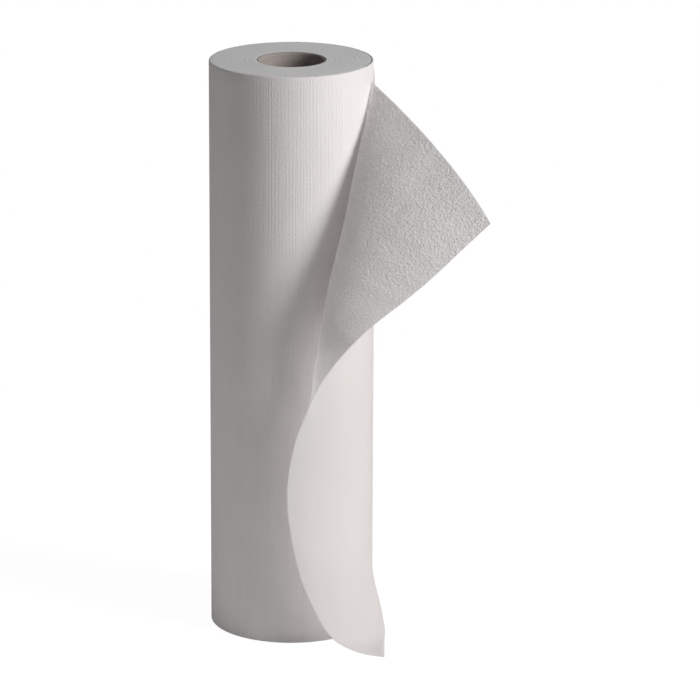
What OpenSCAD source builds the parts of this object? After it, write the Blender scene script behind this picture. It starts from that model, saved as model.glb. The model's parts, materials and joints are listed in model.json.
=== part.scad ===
// Roll of embossed crepe paper on a cardboard core, standing on its end, with the loose end peeled open.
// Millimetres. The roll axis is the Z axis, the floor is Z = 0 and the front of the roll faces -Y.

/* [Roll] */

// width of the paper web, which is the height of the standing roll
paper_width = 500; // [300:10:600]
// outside diameter of the tightly wound turns
roll_diameter = 140; // [110:2:180]
// depth of the shallow lines between groups of turns on the two end faces
turn_line_depth = 0.5; // [0.2:0.1:0.8]
// width of such a line where it opens on the end face
turn_line_width = 0.9; // [0.5:0.1:1.2]
// number of groups of turns that stand out on an end face
turn_groups = 17; // [6:1:20]
// rounding of the outer rim where the edges of the turns are slightly crushed
rim_rounding = 0.8; // [0.4:0.1:1.5]

/* [Core] */

// inside diameter of the cardboard tube
core_bore = 56; // [36:1:60]
// wall of the cardboard tube
core_wall = 1.5; // [1:0.1:2.5]
// how far each end of the tube sits back from the paper
core_recess = 1; // [0:0.5:3]
// free play between the tube and the first turn, on the radius
core_play = 0.1; // [0.05:0.05:0.3]

/* [Loose end] */

// thickness of the loose web as modelled, both plies with their embossing
web = 0.6; // [0.4:0.1:1]
// where the loose web leaves the roll, in degrees round from the front towards the right
leave_angle = 178; // [165:1:190]
// how far the last turn has slackened off the roll on the radius
slack = 0.9; // [0.7:0.1:2]
// how far the top edge has slid down by the time it comes round the right side
slide = 13; // [6:1:20]
// steps along the web
steps_along = 40; // [24:1:48]
// steps across the web
steps_across = 40; // [20:1:48]

/* [Hidden] */

paper_colour = [0.93, 0.92, 0.91];
card_colour = [0.72, 0.64, 0.55];

$fn = 120;
roll_r = roll_diameter / 2;
core_r = core_bore / 2 + core_wall;
wound_r = core_r + core_play;
group = (roll_r - wound_r) / turn_groups;

// the shape of the loose end is laid out on a 500 x 140 roll and follows the roll's own size
sx = roll_diameter / 140;
sz = paper_width / 500;

// Everything below is read at eleven stations across the web, from its bottom edge to its top edge.
last = 10;
// degrees round the roll at which the web stops following the turns
contact = [120, 90, 72, 64, 56, 46, 40, 42, 48, 56, 76];
// which way the web points in plan at the cut edge, in degrees from +X
heading = [-90, -140, -165, -160, -158, -128, -55, -12, 5, 6, 8];
// how steeply it runs down there, in degrees
descent = [0, 0, 2, 5, 7, 10, 20, 28, 42, 55, 60];
// how long the web keeps its direction after it leaves the roll, as a share of the span
leave_hold = [0.40, 0.40, 0.40, 0.35, 0.35, 0.50, 0.55, 0.50, 0.35, 0.20, 0.05];
// and how long before the cut edge it has its final direction
edge_hold = [0.55, 0.55, 0.50, 0.40, 0.35, 0.35, 0.40, 0.50, 0.55, 0.50, 0.40];
// the cut edge of the web in the room, with one guide point before and after it for the end directions
cut_edge = [
    [152, -90, 3],
    [80, -106, 0.4],
    [37, -101, 14],
    [12, -98, 56],
    [0, -96, 103],
    [-3.5, -95, 151],
    [6.5, -103, 201],
    [28, -105, 248],
    [58, -116, 288],
    [94, -112, 319],
    [130, -102, 349],
    [167, -88, 379],
    [204, -80, 410]
];

function clamp(x, a, b) = min(max(x, a), b);

// 0 below a, 1 above b, with a soft start and end
function ease(a, b, x) = let (t = clamp((x - a) / (b - a), 0, 1)) t * t * (3 - 2 * t);

// smooth curve through four neighbouring values
function through(p, q, r, s, t) =
    0.5 * (2 * q + (r - p) * t + (2 * p - 5 * q + 4 * r - s) * t * t + (3 * q - p - 3 * r + s) * t * t * t);

// a list of eleven numbers read at a share k of the way across the web
function across(list, k) =
    let (x = clamp(k * last, 0, last - 0.0001), i = floor(x))
    let (p = i == 0 ? 2 * list[0] - list[1] : list[i - 1])
    let (s = i == last - 1 ? 2 * list[last] - list[last - 1] : list[i + 2])
    through(p, list[i], list[i + 1], s, x - i);

// the cut edge at a share k of the way across the web
function edge_at(k) =
    let (x = clamp(k * last, 0, last - 0.0001), i = floor(x))
    let (e = through(cut_edge[i], cut_edge[i + 1], cut_edge[i + 2], cut_edge[i + 3], x - i))
    [e[0] * sx, e[1] * sx, e[2] * sz];

// the web has slid down by this much at an angle round the roll
function slid(a) =
    let (t = max(leave_angle - a, 0))
    t < 88 ? slide * pow(t / 88, 1.6) : slide + (t - 88) * PI / 180 * roll_r * 0.17;

// middle of the web where it still follows the turns
function on_roll(a, k) =
    let (off = -web / 2 - 0.15 + (slack + web / 2 + 0.15) * ease(0, 34, leave_angle - a))
    let (r = roll_r + off)
    [r * sin(a), -r * cos(a), max(k * paper_width - slid(a) * ease(0, 0.34, k), 0.4)];

// middle of the web: t runs along it from the roll to the cut edge, k across it
function web_at(t, k) =
    let (a = across(contact, k))
    let (p = on_roll(a, k), e = edge_at(k))
    let (span = norm(e - p), share = 0.4)
    t <= share ? on_roll(leave_angle - (leave_angle - a) * t / share, k) :
    let (w = (t - share) / (1 - share))
    let (d = on_roll(a - 0.5, k) - p, h = across(heading, k), v = across(descent, k))
    let (q = p + d / norm(d) * span * across(leave_hold, k))
    let (g = e - [cos(v) * cos(h), cos(v) * sin(h), -sin(v)] * span * across(edge_hold, k))
    pow(1 - w, 3) * p + 3 * pow(1 - w, 2) * w * q + 3 * (1 - w) * w * w * g + pow(w, 3) * e;

// the loose web as a closed skin of two faces and a rim, both faces half a thickness from the middle
module loose_web() {
    n = steps_along;
    m = steps_across;
    mid = [for (j = [0:m]) [for (i = [0:n]) web_at(i / n, j / m)]];
    side = [for (j = [0:m]) [for (i = [0:n])
        let (u = mid[j][min(i + 1, n)] - mid[j][max(i - 1, 0)])
        let (v = mid[min(j + 1, m)][i] - mid[max(j - 1, 0)][i])
        let (c = cross(u, v))
        c / norm(c) * web / 2]];
    inner = [for (j = [0:m]) for (i = [0:n]) mid[j][i] + side[j][i]];
    outer = [for (j = [0:m]) for (i = [0:n]) mid[j][i] - side[j][i]];
    row = n + 1;
    all = (m + 1) * row;
    face_in = [for (j = [0:m - 1]) for (i = [0:n - 1]) for (h = [0, 1])
        let (a = j * row + i, b = a + 1, c = a + row, d = c + 1)
        h == 0 ? [a, c, d] : [a, d, b]];
    face_out = [for (f = face_in) [f[0] + all, f[2] + all, f[1] + all]];
    ring = concat(
        [for (i = [0:n - 1]) i],
        [for (j = [0:m - 1]) j * row + n],
        [for (i = [n:-1:1]) m * row + i],
        [for (j = [m:-1:1]) j * row]);
    k = len(ring);
    rim = [for (i = [0:k - 1]) for (h = [0, 1])
        let (a = ring[i], b = ring[(i + 1) % k])
        h == 0 ? [a, b, b + all] : [a, b + all, a + all]];
    polyhedron(points = concat(inner, outer), faces = concat(face_in, face_out, rim), convexity = 6);
}

// the wound turns: one solid, with a line between each two groups of turns on both end faces
module wound_turns() {
    w = turn_line_width / 2;
    d = turn_line_depth;
    up = paper_width;
    top = [for (i = [1:turn_groups - 1]) for (s = [-1, 0, 1])
        [wound_r + i * group + s * w, up - (s == 0 ? d : 0)]];
    rim = [for (a = [90:-30:0]) [roll_r - rim_rounding * (1 - cos(a)), up - rim_rounding * (1 - sin(a))]];
    half = concat([[wound_r, up]], top, rim);
    low = [for (i = [len(half) - 1:-1:0]) [half[i][0], up - half[i][1]]];
    rotate_extrude(convexity = 8) polygon(concat(half, low));
}

module paper_roll() {
    color(paper_colour)
    union() {
        wound_turns();
        loose_web();
    }
}

// plain cardboard tube, a little shorter than the paper, with its cut ends broken
module core_tube() {
    a = core_bore / 2;
    b = core_r;
    lo = core_recess;
    hi = paper_width - core_recess;
    c = 0.2;
    color(card_colour)
    rotate_extrude(convexity = 4)
    polygon([[a + c, lo], [b - c, lo], [b, lo + c], [b, hi - c], [b - c, hi], [a + c, hi], [a, hi - c], [a, lo + c]]);
}

core_tube();
paper_roll();
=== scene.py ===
import json

import bpy
import numpy as np
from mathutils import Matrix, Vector


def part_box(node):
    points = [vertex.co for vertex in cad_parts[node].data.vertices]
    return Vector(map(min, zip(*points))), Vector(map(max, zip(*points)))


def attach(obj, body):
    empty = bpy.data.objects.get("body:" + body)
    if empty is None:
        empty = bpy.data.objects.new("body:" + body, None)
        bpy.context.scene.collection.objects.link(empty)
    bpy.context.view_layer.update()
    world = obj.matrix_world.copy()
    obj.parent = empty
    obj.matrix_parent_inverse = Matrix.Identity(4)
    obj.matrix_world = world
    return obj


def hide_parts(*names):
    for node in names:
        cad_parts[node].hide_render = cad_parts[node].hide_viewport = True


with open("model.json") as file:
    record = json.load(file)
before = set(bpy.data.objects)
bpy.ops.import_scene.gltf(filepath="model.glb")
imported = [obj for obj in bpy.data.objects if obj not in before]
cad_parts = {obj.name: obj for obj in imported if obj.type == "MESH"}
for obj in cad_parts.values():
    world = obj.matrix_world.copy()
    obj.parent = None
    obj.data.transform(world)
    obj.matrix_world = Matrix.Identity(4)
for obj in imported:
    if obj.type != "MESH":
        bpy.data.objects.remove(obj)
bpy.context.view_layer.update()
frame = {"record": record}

# The looks of an upright roll of embossed crepe paper, with its loose end peeled open.
# Everything is in metres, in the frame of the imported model: Z is the roll's axis, -Y the front.

MM = 0.001

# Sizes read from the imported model
paper_low, paper_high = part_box("paper_roll")
tube_low, tube_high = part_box("core_tube")
mounts = {m["name"]: m for m in frame["record"]["mounts"]}
WIDTH = paper_high.z - paper_low.z
RADIUS = -paper_low.x
TUBE_RADIUS = tube_high.x
BORE_RADIUS = mounts["core_bore"]["dims"]["r_mm"] * MM

# The view: a long lens, looking down a little
FRAME_PX = 700
SENSOR = 36.0
LENS = 240.05
VIEW_DISTANCE = 4.03
VIEW_TILT = np.radians(16.0)
TARGET = Vector((0, 0, WIDTH / 2))
TARGET_PX = (291.2, 342.5)

# The loose end, as in the part's source: eleven stations from its bottom edge to its top edge,
# which were fitted to the photograph's outline, shadow and tones, and then rounded
LAST = 10
WEB = 0.4 * MM
LEAVE_ANGLE = 178.0
SLACK = 0.9 * MM
SLIDE = 13 * MM
START_DEPTH = 0.45 * MM
ON_ROLL_SHARE = 0.4
CONTACT = np.array([120, 90, 72, 64, 56, 46, 40, 42, 48, 56, 76], float)
HEADING = np.array([-90, -140, -165, -160, -158, -128, -55, -12, 5, 6, 8], float)
DESCENT = np.array([0, 0, 2, 5, 7, 10, 20, 28, 42, 55, 60], float)
LEAVE_HOLD = np.array([0.40, 0.40, 0.40, 0.35, 0.35, 0.50, 0.55, 0.50, 0.35, 0.20, 0.05])
EDGE_HOLD = np.array([0.55, 0.55, 0.50, 0.40, 0.35, 0.35, 0.40, 0.50, 0.55, 0.50, 0.40])
CUT_EDGE = MM * np.array([
    [152, -90, 3],
    [80, -106, 0.4],
    [37, -101, 14],
    [12, -98, 56],
    [0, -96, 103],
    [-3.5, -95, 151],
    [6.5, -103, 201],
    [28, -105, 248],
    [58, -116, 288],
    [94, -112, 319],
    [130, -102, 349],
    [167, -88, 379],
    [204, -80, 410],
])


def ease(a, b, x):
    """0 below a, 1 above b, with a soft start and end."""
    t = np.clip((x - a) / (b - a), 0, 1)
    return t * t * (3 - 2 * t)


def through(p, q, r, s, t):
    """Smooth curve through four neighbouring values."""
    square = 2 * p - 5 * q + 4 * r - s
    cube = 3 * q - p - 3 * r + s
    return 0.5 * (2 * q + (r - p) * t + square * t ** 2 + cube * t ** 3)


def station(k):
    """The station below a share k of the way across the web, and how far past it k lies."""
    x = np.clip(k * LAST, 0, LAST - 1e-4)
    i = np.floor(x).astype(int)
    return i, x - i


def across(values, k):
    i, t = station(k)
    before = np.where(i == 0, 2 * values[0] - values[1], values[np.maximum(i - 1, 0)])
    after = np.where(i == LAST - 1, 2 * values[LAST] - values[LAST - 1], values[np.minimum(i + 2, LAST)])
    return through(before, values[i], values[i + 1], after, t)


def cut_edge(k):
    i, t = station(k)
    return through(CUT_EDGE[i], CUT_EDGE[i + 1], CUT_EDGE[i + 2], CUT_EDGE[i + 3], t[..., None])


def slid(angle):
    """How far the web has slid down at an angle round the roll."""
    t = np.maximum(LEAVE_ANGLE - angle, 0)
    return np.where(t < 88, SLIDE * (t / 88) ** 1.6, SLIDE + np.radians(t - 88) * RADIUS * 0.17)


def on_roll(angle, k):
    """Middle of the web where it still follows the turns."""
    r = RADIUS - START_DEPTH + (SLACK + START_DEPTH) * ease(0, 34, LEAVE_ANGLE - angle)
    a = np.radians(angle)
    z = np.maximum(k * WIDTH - slid(angle) * ease(0, 0.34, k), 0.4 * MM)
    return np.stack([r * np.sin(a), -r * np.cos(a), z], -1)


def web_at(t, k):
    """Middle of the web: t runs along it from the roll to the cut edge, k across it."""
    angle = across(CONTACT, k)
    start = on_roll(angle, k)
    end = cut_edge(k)
    span = np.linalg.norm(end - start, axis=-1, keepdims=True)
    wound = on_roll(LEAVE_ANGLE - (LEAVE_ANGLE - angle) * np.clip(t / ON_ROLL_SHARE, 0, 1), k)
    w = np.clip((t - ON_ROLL_SHARE) / (1 - ON_ROLL_SHARE), 0, 1)[..., None]
    off = on_roll(angle - 0.5, k) - start
    off /= np.linalg.norm(off, axis=-1, keepdims=True)
    h = np.radians(across(HEADING, k))
    v = np.radians(across(DESCENT, k))
    final = np.stack([np.cos(v) * np.cos(h), np.cos(v) * np.sin(h), -np.sin(v)], -1)
    q = start + off * span * across(LEAVE_HOLD, k)[..., None]
    g = end - final * span * across(EDGE_HOLD, k)[..., None]
    free = (1 - w) ** 3 * start + 3 * (1 - w) ** 2 * w * q + 3 * (1 - w) * w ** 2 * g + w ** 3 * end
    return np.where((t <= ON_ROLL_SHARE)[..., None], wound, free)


def waves(seed, count, lengths, *axes):
    """A sum of sine waves of random direction, between the two wavelengths, about -1 to 1."""
    rng = np.random.default_rng(seed)
    total = 0
    for _ in range(count):
        length = rng.uniform(*lengths)
        way = rng.normal(size=len(axes))
        way /= np.linalg.norm(way)
        phase = rng.uniform(0, 2 * np.pi)
        total = total + np.sin(2 * np.pi / length * sum(w * a for w, a in zip(way, axes)) + phase)
    return total / np.sqrt(count)


def new_mesh(name, points, faces, uv=None, slots=None, smooth=True):
    """A mesh object. uv has one pair for each corner, and slots one material number for each face."""
    mesh = bpy.data.meshes.new(name)
    mesh.from_pydata(points.tolist(), [], faces)
    if uv is not None:
        layer = mesh.uv_layers.new(name="flat")
        layer.data.foreach_set("uv", np.asarray(uv, np.float32).ravel())
    if slots is not None:
        mesh.polygons.foreach_set("material_index", np.asarray(slots, np.int32))
    mesh.polygons.foreach_set("use_smooth", [smooth] * len(mesh.polygons))
    mesh.update()
    piece = bpy.data.objects.new(name, mesh)
    bpy.context.scene.collection.objects.link(piece)
    return piece


def ring_strip(a, b, count):
    """Faces between two rings of the same number of points, which start at a and b."""
    return [(a + i, a + (i + 1) % count, b + (i + 1) % count, b + i) for i in range(count)]


def uneven_strip(few, many, count, ratio, turned):
    """Triangles between a ring of count points and one of count * ratio points."""
    faces = []
    for i in range(count):
        c = few + i
        d = few + (i + 1) % count
        f = [many + (i * ratio + j) % (count * ratio) for j in range(ratio + 1)]
        half = ratio // 2
        faces += [(c, f[j + 1], f[j]) for j in range(half)]
        faces += [(c, d, f[half])]
        faces += [(d, f[j + 1], f[j]) for j in range(half, ratio)]
    return [f[::-1] for f in faces] if turned else faces


# The wound turns

RIB_COLUMNS = 1056
END_COLUMNS = 264
SIDE_ROWS = 44
GROUPS = 17
LINE_WIDTH = 0.9 * MM
LINE_DEPTH = 0.15 * MM
RIM = 0.8 * MM
END_TILT = 0.08 * MM
TURN_CROWN = 0.03 * MM
END_SETBACK = 0.03 * MM
RIB_NUMBERS = (127, 149, 163, 179, 197, 211)
RIB_HEIGHT = 0.02 * MM
WOUND_RADIUS = TUBE_RADIUS + 0.1 * MM
# Inside this radius the ends are coloured dark: the cardboard's own tone on the core's ends, and painted
# shade on the paper's inner wall beyond each end of the core.
CORE_AND_GAP_SHADE_EDGE = WOUND_RADIUS + 0.05 * MM


def crepe(angle, z):
    """Height of the vertical crepe ribs on the outside of the roll."""
    rng = np.random.default_rng(4)
    height = 0
    for number in RIB_NUMBERS:
        swell = 0.6 + 0.4 * np.sin(2 * np.pi * z / rng.uniform(0.09, 0.3) + rng.uniform(0, 6.3))
        wander = 0.5 * np.sin(2 * np.pi * z / rng.uniform(0.2, 0.5) + rng.uniform(0, 6.3))
        height = height + swell * np.sin(number * angle + wander + rng.uniform(0, 6.3))
    return RIB_HEIGHT * height


def turns_piece():
    """The wound turns as one closed skin: inner wall, bottom end, crepe side and top end."""
    group = (RADIUS - WOUND_RADIUS) / GROUPS
    steps = [(-0.5, 0), (0, 1), (0.5, 0)]
    end = [(WOUND_RADIUS, 0.0)]
    for i in range(1, GROUPS):
        line = WOUND_RADIUS + i * group
        end += [(line - 0.5 * group, 0.0)]
        end += [(line + s * LINE_WIDTH, d * LINE_DEPTH) for s, d in steps]
    end += [(RADIUS - 0.5 * group, 0.0)]
    rim = [(RADIUS - RIM * (1 - np.cos(a)), RIM * (1 - np.sin(a))) for a in np.radians([90, 67, 45, 22, 0])]
    side = np.linspace(RIM, WIDTH - RIM, SIDE_ROWS)[1:-1]

    coarse = np.arange(END_COLUMNS) * 2 * np.pi / END_COLUMNS + np.pi
    fine = np.arange(RIB_COLUMNS) * 2 * np.pi / RIB_COLUMNS + np.pi
    rings = []
    for top in (False, True):
        flat = []
        for r, depth in end:
            plan = (r * np.sin(coarse), r * np.cos(coarse))
            tilt = END_TILT * waves(11 + top, 5, (0.03, 0.12), *plan)
            crown = TURN_CROWN * waves(21 + top, 5, (0.002, 0.006), np.full(END_COLUMNS, r))
            deep = depth * (0.65 + 0.35 * waves(31 + top, 4, (0.05, 0.2), *plan))
            deep = np.clip(deep, 0, LINE_DEPTH)
            inside = np.clip(END_SETBACK + deep - tilt - crown, 0, 1 * MM) * (r > WOUND_RADIUS)
            flat.append((coarse, np.full(END_COLUMNS, r), WIDTH - inside if top else inside))
        edge = []
        for r, depth in rim:
            z = WIDTH - depth if top else depth
            edge.append((fine, r + crepe(fine, z), np.full(RIB_COLUMNS, z)))
        rings.append((flat, edge))
    (low_flat, low_edge), (top_flat, top_edge) = rings
    walls = [(fine, RADIUS + crepe(fine, z), np.full(RIB_COLUMNS, z)) for z in side]
    every = low_flat + low_edge + walls + top_edge[::-1] + top_flat[::-1]
    side_rings = range(len(low_flat), len(every) - len(top_flat))

    points = np.concatenate([np.stack([r * np.sin(a), -r * np.cos(a), z], -1) for a, r, z in every])
    starts = np.cumsum([0] + [len(r[0]) for r in every])
    faces = []
    slots = []
    for i in range(len(every)):
        j = (i + 1) % len(every)
        a = len(every[i][0])
        b = len(every[j][0])
        if a == b:
            strip = ring_strip(int(starts[i]), int(starts[j]), a)
        elif a < b:
            strip = uneven_strip(int(starts[i]), int(starts[j]), a, b // a, True)
        else:
            strip = uneven_strip(int(starts[j]), int(starts[i]), b, a // b, False)
        faces += strip
        slots += [0 if i in side_rings and j in side_rings else 1] * len(strip)
    angles = np.concatenate([a - np.pi for a, r, z in every])
    uv = []
    for f in faces:
        a = angles[list(f)]
        a = np.where(a.max() - a > np.pi, a + 2 * np.pi, a)
        uv += [(x * RADIUS, points[n, 2]) for x, n in zip(a, f)]
    return new_mesh("wound_turns", points, faces, uv, slots)


# The loose end

WEB_COLUMNS = 170
WEB_ROWS = 230
RIPPLE = 0.35 * MM
# How far the fold bellies forward, the top edge is bowed up and the cut edge hangs down near the corner
BELLY = 8 * MM
BOW = 3.5 * MM
DROOP = 2.5 * MM
# The lowest that the middle of the web and its two faces come above the floor
MIDDLE_LIFT = 0.3 * MM
FACE_LIFT = 0.05 * MM


def web_piece():
    """The loose end of the web as a closed thin skin: embossed inner face, crepe outer face, cut rim."""
    n = WEB_COLUMNS
    m = WEB_ROWS
    k, t = np.meshgrid(np.linspace(0, 1, m + 1), np.linspace(0, 1, n + 1) ** 0.9, indexing="ij")
    middle = web_at(t, k)
    along = np.gradient(middle, axis=1)
    across_web = np.gradient(middle, axis=0)
    normal = np.cross(along, across_web)
    normal /= np.linalg.norm(normal, axis=-1, keepdims=True)
    steps = np.linalg.norm(np.diff(middle, axis=1), axis=-1)
    gone = np.concatenate([np.zeros((m + 1, 1)), np.cumsum(steps, axis=1)], 1)
    u = gone - gone[:, -1:]
    free = ease(ON_ROLL_SHARE + 0.04, 0.75, t)
    w = np.clip((t - ON_ROLL_SHARE) / (1 - ON_ROLL_SHARE), 0, 1)
    ripple = RIPPLE * waves(5, 9, (0.022, 0.07), u, k * WIDTH) * free
    middle = middle + normal * ripple[..., None]
    middle[..., 1] -= BELLY * np.exp(-((k - 0.63) / 0.15) ** 2) * np.sin(np.pi * w) ** 2
    middle[..., 2] += BOW * ease(0.6, 1, k) * np.sin(np.pi * w)
    middle[..., 2] -= DROOP * np.exp(-((k - 0.86) / 0.09) ** 2) * ease(0.4, 1, w)
    middle[..., 2] = np.maximum(middle[..., 2], MIDDLE_LIFT)
    half = normal * WEB / 2
    points = np.concatenate([(middle + half).reshape(-1, 3), (middle - half).reshape(-1, 3)])
    points[:, 2] = np.maximum(points[:, 2], FACE_LIFT)

    row = n + 1
    count = (m + 1) * row
    i, j = np.meshgrid(np.arange(n), np.arange(m))
    a = (j * row + i).ravel()
    inner = np.stack([a, a + 1, a + row + 1, a + row], -1)
    outer = inner[:, ::-1] + count
    ring = list(range(n)) + [q * row + n for q in range(m)]
    ring += [m * row + q for q in range(n, 0, -1)] + [q * row for q in range(m, 0, -1)]
    rim = [(b, a, a + count, b + count) for a, b in zip(ring, ring[1:] + ring[:1])]
    faces = inner.tolist() + outer.tolist() + rim
    flat = np.stack([u.ravel(), (k * WIDTH).ravel()], -1)
    flat = np.concatenate([flat, flat])
    uv = flat[np.concatenate([np.asarray(f) for f in (inner.ravel(), outer.ravel(), np.ravel(rim))])]
    slots = [0] * len(inner) + [1] * len(outer) + [1] * len(rim)
    return new_mesh("loose_end", points, faces, uv, slots)


# The cardboard core

CORE_COLUMNS = 144
CORE_ROWS = 300
PLY_LEAD = 0.094
PLY_STEP = 0.16 * MM
CORE_BREAK = 0.25 * MM
END_DIP = 0.06 * MM
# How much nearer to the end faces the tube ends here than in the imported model
CORE_PROUD = 0.7 * MM


def core_piece():
    """The cardboard tube as one closed skin, with the step of its spiral-wound inner ply."""
    angle = np.arange(CORE_COLUMNS) * 2 * np.pi / CORE_COLUMNS
    low = tube_low.z - CORE_PROUD
    high = tube_high.z + CORE_PROUD
    plan = (BORE_RADIUS * np.sin(angle), BORE_RADIUS * np.cos(angle))
    fuzz = END_DIP * waves(8, 6, (0.004, 0.02), *plan)
    rings = []
    for z in np.linspace(low + CORE_BREAK, high - CORE_BREAK, CORE_ROWS):
        turn = ((z - low) / PLY_LEAD - angle / (2 * np.pi)) % 1
        rings.append((BORE_RADIUS + PLY_STEP * turn ** 3, np.full(CORE_COLUMNS, z)))
    wall = TUBE_RADIUS - BORE_RADIUS
    ends = [(0.2, 0.0), (0.5, -0.15), (0.8, 0.0)]
    for share, lift in ends:
        rings.append((np.full(CORE_COLUMNS, BORE_RADIUS + wall * share), high - END_DIP + fuzz * (1 + lift)))
    for z in (high - CORE_BREAK, low + CORE_BREAK):
        rings.append((np.full(CORE_COLUMNS, TUBE_RADIUS), np.full(CORE_COLUMNS, z)))
    for share, lift in ends[::-1]:
        rings.append((np.full(CORE_COLUMNS, BORE_RADIUS + wall * share), low + END_DIP - fuzz * (1 + lift)))
    points = np.concatenate([np.stack([r * np.sin(angle), -r * np.cos(angle), z], -1) for r, z in rings])
    top_end = CORE_ROWS
    low_end = top_end + len(ends) + 2
    end_strips = [first + i for first in (top_end, low_end) for i in range(len(ends) - 1)]
    faces = []
    slots = []
    for i in range(len(rings)):
        j = (i + 1) % len(rings)
        faces += [f[::-1] for f in ring_strip(i * CORE_COLUMNS, j * CORE_COLUMNS, CORE_COLUMNS)]
        slots += [1 if i in end_strips else 0] * CORE_COLUMNS
    return new_mesh("core", points, faces, slots=slots)


# Materials

class Nodes:
    """Short names for building a node tree."""

    def __init__(self, name):
        self.material = bpy.data.materials.new(name)
        self.material.use_nodes = True
        self.tree = self.material.node_tree
        self.tree.nodes.clear()
        self.out = self.tree.nodes.new("ShaderNodeOutputMaterial")

    def add(self, kind, **settings):
        node = self.tree.nodes.new("ShaderNode" + kind)
        for key, value in settings.items():
            setattr(node, key, value)
        return node

    def link(self, a, b):
        self.tree.links.new(a, b)

    def feed(self, node, **inputs):
        """Sets each named input to a number or colour, or links a socket to it."""
        for key, value in inputs.items():
            socket = node.inputs[key.replace("_", " ")]
            if isinstance(value, bpy.types.NodeSocket):
                self.link(value, socket)
            else:
                socket.default_value = value
        return node

    def math(self, operation, a, b=0.0, c=0.0):
        node = self.add("Math", operation=operation)
        for socket, value in zip(node.inputs, (a, b, c)):
            if isinstance(value, bpy.types.NodeSocket):
                self.link(value, socket)
            else:
                socket.default_value = value
        return node.outputs[0]

    def stretch(self, vector, scale):
        node = self.add("Mapping")
        self.link(vector, node.inputs["Vector"])
        node.inputs["Scale"].default_value = scale
        return node.outputs["Vector"]

    def noise(self, vector, scale, detail=2.0, rough=0.5):
        node = self.feed(self.add("TexNoise"), Vector=vector, Scale=scale, Detail=detail, Roughness=rough)
        return node.outputs["Fac"]

    def ramp(self, value, stops):
        node = self.add("ValToRGB")
        self.link(value, node.inputs["Fac"])
        bar = node.color_ramp.elements
        while len(bar) < len(stops):
            bar.new(0.5)
        for element, (place, colour) in zip(bar, stops):
            element.position = place
            element.color = colour
        return node.outputs["Color"]

    def bump(self, height, distance, strength=1.0):
        node = self.feed(self.add("Bump"), Height=height, Distance=distance, Strength=strength)
        return node.outputs["Normal"]


def grey(level, warm=0.0):
    return (level * (1 + warm), level, level * (1 - 0.3 * warm), 1.0)


# Levels of the wound paper and of the thin loose web, the share of light that the web lets
# through, and how warm each of the two papers is
PAPER = 0.74
SHEET = 0.98
THROUGH = 0.72
PAPER_WARM = 0.045
SHEET_WARM = 0.016
CARDBOARD_COLOURS = [
    (0.3, (0.29, 0.255, 0.24, 1)),
    (0.55, (0.37, 0.325, 0.305, 1)),
    (0.75, (0.44, 0.39, 0.37, 1)),
]


def paper_colour(n, where, height, spread, level, warm):
    """Faint clouds and fibres in the paper, with painted shade that makes it a little darker in the hollows
    of the height it is given.
    """
    clouds = n.noise(where, 26.0, 3.0, 0.6)
    fibres = n.noise(where, 900.0, 2.0, 0.6)
    # Painted shade: where the ribs or pillows are low, the colour is darker.
    fibres_and_hollow_shade = n.math("MULTIPLY_ADD", fibres, 0.2, n.math("MULTIPLY", height, 0.5))
    shade = n.math("MULTIPLY_ADD", clouds, 0.3, fibres_and_hollow_shade)
    return n.ramp(shade, [(0.3, grey(level - spread, warm)), (0.7, grey(level + spread, warm))])


def crepe_height(n, flat):
    """Upright crepe ribs with a dotted grain, on the flat lie of the web in metres."""
    ribs = n.noise(n.stretch(flat, (700.0, 14.0, 1.0)), 1.0, 1.0, 0.4)
    dots = n.noise(n.stretch(flat, (700.0, 560.0, 1.0)), 1.0, 1.0, 0.5)
    return n.math("MULTIPLY_ADD", ribs, 0.5, n.math("MULTIPLY", dots, 0.8))


def pillow_height(n, flat):
    """The embossing of the inner face: an uneven lattice of small pillows."""
    cells = n.feed(n.add("TexVoronoi", feature="F1"), Vector=flat, Scale=480.0, Randomness=0.7)
    fine = n.noise(flat, 1500.0, 1.0, 0.5)
    return n.math("MULTIPLY_ADD", fine, 0.15, n.math("SUBTRACT", 0.85, cells.outputs["Distance"]))


def finish_paper(n, colour, normal, through_share):
    skin = n.feed(n.add("BsdfPrincipled"), Base_Color=colour, Roughness=0.82, Normal=normal)
    skin.inputs["Specular IOR Level"].default_value = 0.28
    if through_share:
        glow = n.feed(n.add("BsdfTranslucent"), Color=grey(SHEET, SHEET_WARM), Normal=normal)
        both = n.feed(n.add("MixShader"), Fac=through_share)
        n.link(skin.outputs[0], both.inputs[1])
        n.link(glow.outputs[0], both.inputs[2])
        n.link(both.outputs[0], n.out.inputs["Surface"])
    else:
        n.link(skin.outputs[0], n.out.inputs["Surface"])
    return n.material


def side_material():
    n = Nodes("paper_side")
    flat = n.add("UVMap", uv_map="flat").outputs["UV"]
    height = crepe_height(n, flat)
    normal = n.bump(height, 0.3 * MM, 0.9)
    return finish_paper(n, paper_colour(n, flat, height, 0.05, PAPER, PAPER_WARM), normal, 0)


def outer_material():
    n = Nodes("paper_outer")
    flat = n.add("UVMap", uv_map="flat").outputs["UV"]
    height = crepe_height(n, flat)
    normal = n.bump(height, 0.16 * MM, 0.7)
    # The outer face is coloured 0.07 below the web's level: painted shade for the self-shadowing of its
    # crepe.
    return finish_paper(n, paper_colour(n, flat, height, 0.015, SHEET - 0.07, SHEET_WARM), normal, THROUGH)


def inner_material():
    """The embossed face, whose pillows stand out most towards the peeled corner."""
    n = Nodes("paper_inner")
    flat = n.add("UVMap", uv_map="flat").outputs["UV"]
    height = pillow_height(n, flat)
    corner = n.add("VectorMath", operation="DISTANCE")
    n.link(flat, corner.inputs[0])
    corner.inputs[1].default_value = (0.0, WIDTH, 0.0)
    away = n.feed(n.add("MapRange"), Value=corner.outputs["Value"])
    for name, value in (("From Min", 0.02), ("From Max", 0.17), ("To Min", 1.0), ("To Max", 0.55)):
        away.inputs[name].default_value = value
    normal = n.bump(height, 1.4 * MM, away.outputs[0])
    return finish_paper(n, paper_colour(n, flat, height, 0.02, SHEET - 0.02, SHEET_WARM), normal, THROUGH)


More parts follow.
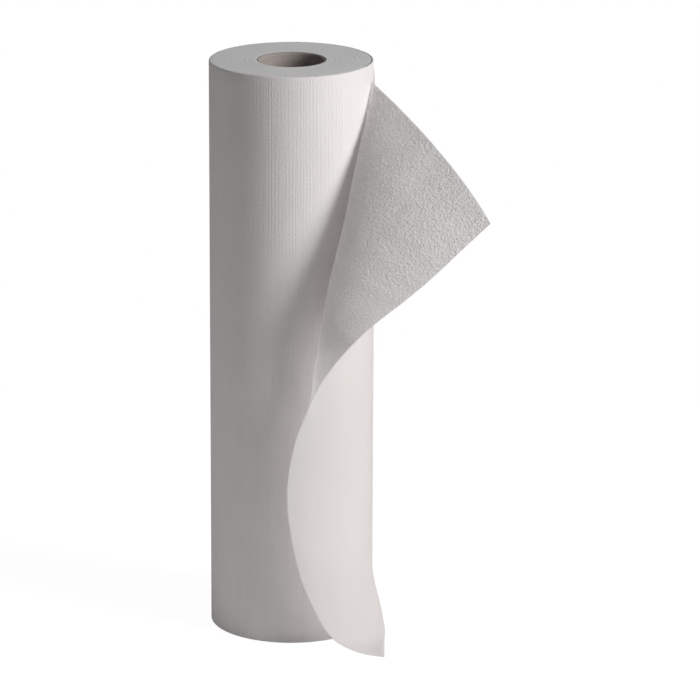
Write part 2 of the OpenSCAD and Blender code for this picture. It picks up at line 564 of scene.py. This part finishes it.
def ends_material():
    """The edges of the turns: fine rings, with a slight fuzz where the web was slit."""
    n = Nodes("paper_ends")
    place = n.add("TexCoord").outputs["Object"]
    level = n.add("VectorMath", operation="MULTIPLY")
    n.link(place, level.inputs[0])
    level.inputs[1].default_value = (1.0, 1.0, 0.0)
    radius = n.add("VectorMath", operation="LENGTH")
    n.link(level.outputs[0], radius.inputs[0])
    line = n.add("CombineXYZ")
    n.link(n.math("MULTIPLY", radius.outputs["Value"], 1300.0), line.inputs[0])
    rings = n.noise(line.outputs[0], 1.0, 2.0, 0.7)
    fuzz = n.noise(place, 700.0, 2.0, 0.6)
    clouds = n.noise(place, 45.0, 3.0, 0.6)
    specks = n.math("MULTIPLY_ADD", clouds, 0.4, n.math("MULTIPLY", fuzz, 0.25))
    shade = n.math("MULTIPLY_ADD", rings, 0.35, specks)
    # The ends are coloured lighter than the side: partly the paler tone of the slit edges, partly painted
    # light that stands in for light falling on the top end from above.
    colour = n.ramp(shade, [(0.3, grey(PAPER + 0.04, 0.01)), (0.7, grey(PAPER + 0.12, 0.01))])
    # From just outside the core's outer wall inward, the colour is a dark warm grey: the cardboard's own
    # tone on the core's end faces, and painted shade on the thin strip of the paper's inner wall beyond each
    # end of the core.
    core_and_gap_shade_mask = n.math("LESS_THAN", radius.outputs["Value"], CORE_AND_GAP_SHADE_EDGE)
    core_and_gap_shade = n.feed(n.add("Mix", data_type="RGBA"), Factor=core_and_gap_shade_mask)
    n.link(colour, core_and_gap_shade.inputs[6])
    core_and_gap_shade.inputs[7].default_value = grey(0.3, 0.05)
    height = n.math("MULTIPLY_ADD", rings, 0.6, n.math("MULTIPLY", fuzz, 0.5))
    return finish_paper(n, core_and_gap_shade.outputs[2], n.bump(height, 0.18 * MM, 0.6), 0)


def cardboard_material():
    n = Nodes("cardboard")
    place = n.add("TexCoord").outputs["Object"]
    fibres = n.noise(n.stretch(place, (1.0, 1.0, 0.25)), 900.0, 3.0, 0.65)
    clouds = n.noise(place, 70.0, 2.0, 0.5)
    shade = n.math("MULTIPLY_ADD", fibres, 0.55, n.math("MULTIPLY", clouds, 0.45))
    colour = n.ramp(shade, CARDBOARD_COLOURS)
    normal = n.bump(fibres, 0.15 * MM, 0.7)
    skin = n.feed(n.add("BsdfPrincipled"), Base_Color=colour, Roughness=0.85, Normal=normal)
    skin.inputs["Specular IOR Level"].default_value = 0.3
    n.link(skin.outputs[0], n.out.inputs["Surface"])
    return n.material


# Floor, lights and camera

FLOOR_HALF = 0.75
FLOOR_COLOUR = grey(0.93)
FLOOR_SHADOW_SHARE = 0.22
FLOOR_WHITE = 0.93
FILL = 0.1


def floor_piece():
    """A pale floor. Straight from the camera it is white, with the object's soft shadow."""
    steps = 96
    angle = np.arange(steps) * 2 * np.pi / steps
    points = np.stack([FLOOR_HALF * np.sin(angle), FLOOR_HALF * np.cos(angle), np.zeros(steps)], -1)
    floor = new_mesh("floor", points, [tuple(range(steps))[::-1]], smooth=False)
    n = Nodes("floor")
    plain = n.feed(n.add("BsdfDiffuse"), Color=FLOOR_COLOUR)
    shadow = n.feed(n.add("BsdfDiffuse"), Color=grey(FLOOR_SHADOW_SHARE))
    white = n.feed(n.add("Emission"), Color=grey(1.0), Strength=FLOOR_WHITE)
    seen = n.add("AddShader")
    n.link(shadow.outputs[0], seen.inputs[0])
    n.link(white.outputs[0], seen.inputs[1])
    choose = n.feed(n.add("MixShader"), Fac=n.add("LightPath").outputs["Is Camera Ray"])
    n.link(plain.outputs[0], choose.inputs[1])
    n.link(seen.outputs[0], choose.inputs[2])
    n.link(choose.outputs[0], n.out.inputs["Surface"])
    floor.data.materials.append(n.material)
    return floor


def area_light(name, azimuth, elevation, distance, size, level):
    """A square lamp facing the middle of the object, which lights a face towards it to the given level."""
    a = np.radians(azimuth)
    e = np.radians(elevation)
    lamp = bpy.data.lights.new(name, "AREA")
    lamp.shape = "SQUARE"
    lamp.size = size
    lamp.energy = level * np.pi ** 2 * distance ** 2
    holder = bpy.data.objects.new(name, lamp)
    way = Vector((np.sin(a) * np.cos(e), -np.cos(a) * np.cos(e), np.sin(e)))
    holder.location = TARGET + way * distance
    holder.rotation_euler = way.to_track_quat("Z", "Y").to_euler()
    bpy.context.scene.collection.objects.link(holder)
    return holder


def make_world():
    """A dim white fill on the object, seen as plain white by the camera."""
    world = bpy.data.worlds.new("studio")
    world.use_nodes = True
    tree = world.node_tree
    tree.nodes.clear()
    out = tree.nodes.new("ShaderNodeOutputWorld")
    fill = tree.nodes.new("ShaderNodeBackground")
    fill.inputs["Color"].default_value = (1, 1, 1, 1)
    fill.inputs["Strength"].default_value = FILL
    seen = tree.nodes.new("ShaderNodeBackground")
    seen.inputs["Color"].default_value = (1, 1, 1, 1)
    seen.inputs["Strength"].default_value = 1.0
    choose = tree.nodes.new("ShaderNodeMixShader")
    tree.links.new(tree.nodes.new("ShaderNodeLightPath").outputs["Is Camera Ray"], choose.inputs[0])
    tree.links.new(fill.outputs[0], choose.inputs[1])
    tree.links.new(seen.outputs[0], choose.inputs[2])
    tree.links.new(choose.outputs[0], out.inputs["Surface"])
    bpy.context.scene.world = world


def make_camera():
    camera = bpy.data.cameras.new("camera")
    camera.lens = LENS
    camera.sensor_width = SENSOR
    holder = bpy.data.objects.new("camera", camera)
    back = Vector((0, -np.cos(VIEW_TILT), np.sin(VIEW_TILT)))
    camera.shift_x = 0.5 - TARGET_PX[0] / FRAME_PX
    camera.shift_y = TARGET_PX[1] / FRAME_PX - 0.5
    holder.location = TARGET + back * VIEW_DISTANCE
    holder.rotation_euler = (-back).to_track_quat("-Z", "Y").to_euler()
    bpy.context.scene.collection.objects.link(holder)
    bpy.context.scene.camera = holder


# The scene

make_camera()
make_world()
area_light("key", 60, 26, 2.2, 0.9, 0.88)
area_light("front_fill", 5, 8, 2.4, 1.6, 0.085)
area_light("left_rim", -100, -3, 1.3, 0.7, 0.145)
area_light("back", 180, 50, 2.2, 1.2, 0.1)

turns = turns_piece()
edges = ends_material()
for material in (side_material(), edges):
    turns.data.materials.append(material)
web = web_piece()
for material in (inner_material(), outer_material()):
    web.data.materials.append(material)
core = core_piece()
for material in (cardboard_material(), edges):
    core.data.materials.append(material)

stands_for = (
    (turns, "paper_roll", "paper"),
    (web, "paper_roll", "paper"),
    (core, "core_tube", "cardboard"),
)
for piece, node, slot in stands_for:
    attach(piece, "root")
    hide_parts(node)
floor_piece()

view = bpy.context.scene.view_settings
view.view_transform = "Standard"
